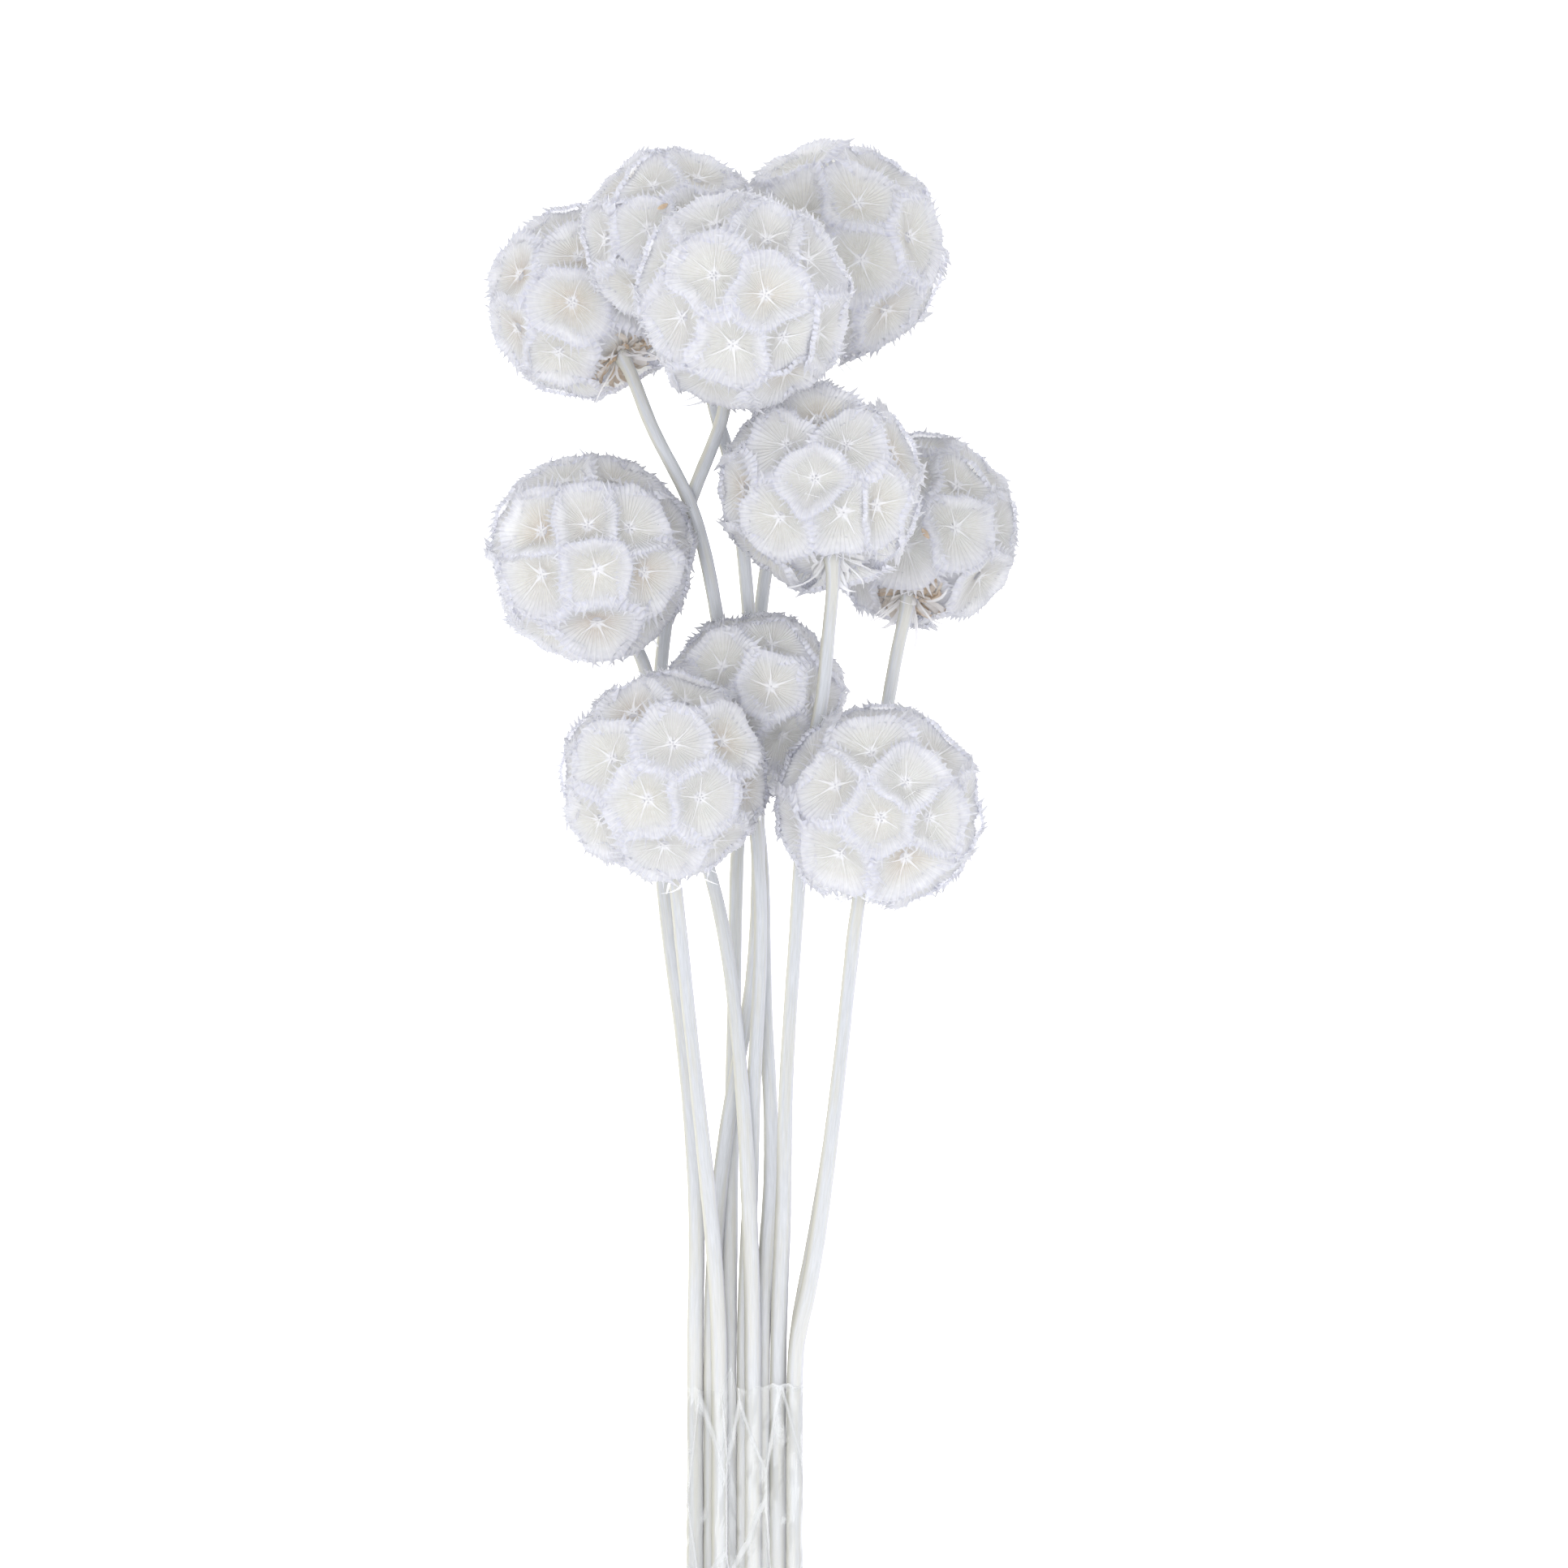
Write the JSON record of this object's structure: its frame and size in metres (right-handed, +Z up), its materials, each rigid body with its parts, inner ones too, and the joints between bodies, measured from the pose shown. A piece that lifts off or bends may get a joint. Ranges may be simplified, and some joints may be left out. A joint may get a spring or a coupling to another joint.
{
  "type": "bunch of dried scabiosa seed heads",
  "caption": "Bunch of dried white scabiosa on long slender stems, round papery heads of dished saucers, its stems held in a clear film sleeve, lying on its side.",
  "frame": {"origin": "on the surface that the bunch lies on, below the middle of the bunch's length and width", "axes": "+Y along the stems towards the flower heads, +X to the right as the bunch is looked down on, +Z up"},
  "size_m": [0.1144, 0.3953, 0.1011],
  "materials": {
    "seed_head": "dry, thin and papery, fine ribs, matt",
    "stem": "dry bleached stalk, finely grooved, matt",
    "film": "clear thin film, creased, glossy"
  },
  "bodies": {
    "root": {"head_01": "seed_head", "head_02": "seed_head", "head_03": "seed_head", "head_04": "seed_head", "head_05": "seed_head", "head_06": "seed_head", "head_07": "seed_head", "head_08": "seed_head", "head_09": "seed_head", "head_10": "seed_head", "stem_01": "stem", "stem_02": "stem", "stem_03": "stem", "stem_04": "stem", "stem_05": "stem", "stem_06": "stem", "stem_07": "stem", "stem_08": "stem", "stem_09": "stem", "stem_10": "stem", "film_sleeve": "film"}
  },
  "joints": []
}
